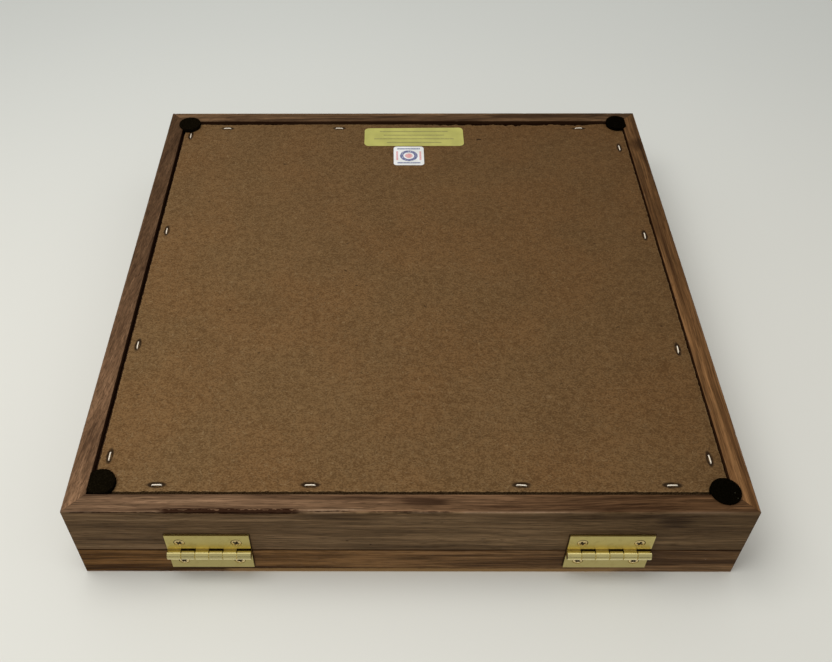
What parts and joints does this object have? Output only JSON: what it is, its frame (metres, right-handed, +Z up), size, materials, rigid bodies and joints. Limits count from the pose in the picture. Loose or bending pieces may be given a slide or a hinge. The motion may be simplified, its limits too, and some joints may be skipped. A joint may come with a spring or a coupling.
{
  "type": "coin display case",
  "caption": "Shallow square walnut display case for coins: hinged glass lid, swing hook, mitred rails, lapped dividers over a lined floor, stapled hardboard bottom on felt pads.",
  "frame": {"origin": "on the table under the middle of the case, which stands on its felt pads", "axes": "+Z up through the glass lid, -Y out of the front with the latch, +Y out of the back with the hinges, +X to the right seen from the front"},
  "size_m": [0.3048, 0.3138, 0.0527],
  "materials": {
    "walnut": "rubbed oil, satin",
    "walnut_bead": "rubbed oil, satin",
    "hardboard": "raw, matt",
    "staple_wire": "zinc coated wire",
    "felt": "black felt",
    "lining": "black velvet on board",
    "divider": "black flock on thin slats",
    "brass": "satin, lacquered",
    "brass_screw": "plated",
    "glass": "clear, polished"
  },
  "bodies": {
    "base": {"base_rail_front": "walnut", "base_rail_back": "walnut", "base_rail_left": "walnut", "base_rail_right": "walnut", "bottom_panel": "hardboard", "bottom_staples": "staple_wire", "pad_front_left": "felt", "pad_front_right": "felt", "pad_back_left": "felt", "pad_back_right": "felt", "liner_board": "lining", "divider_long_left": "divider", "divider_long_centre": "divider", "divider_long_right": "divider", "divider_cross_front": "divider", "divider_cross_back": "divider", "hinge_left_base_leaf": "brass", "hinge_right_base_leaf": "brass", "hinge_left_pin": "brass", "hinge_right_pin": "brass", "base_hinge_screws": "brass_screw", "catch_plate": "brass", "catch_knob": "brass", "catch_screws": "brass_screw"},
    "lid": {"lid_rail_front": "walnut", "lid_rail_back": "walnut", "lid_rail_left": "walnut", "lid_rail_right": "walnut", "lid_glass": "glass", "glass_bead_front": "walnut_bead", "glass_bead_back": "walnut_bead", "glass_bead_left": "walnut_bead", "glass_bead_right": "walnut_bead", "hinge_left_lid_leaf": "brass", "hinge_right_lid_leaf": "brass", "lid_hinge_screws": "brass_screw", "hook_plate": "brass", "hook_plate_screws": "brass_screw", "hook_rivet": "brass"},
    "hook": {"hook": "brass"}
  },
  "joints": [
    {"name": "lid_hinge", "type": "hinge", "parent": "base", "child": "lid", "pos_m": [0, 0.15465, 0.03265], "axis": [-1, 0, 0], "range_deg": [0, 180]},
    {"name": "hook_swing", "type": "hinge", "parent": "lid", "child": "hook", "pos_m": [0, -0.1543, 0.0425], "axis": [0, 1, 0], "range_deg": [-90, 90]}
  ]
}
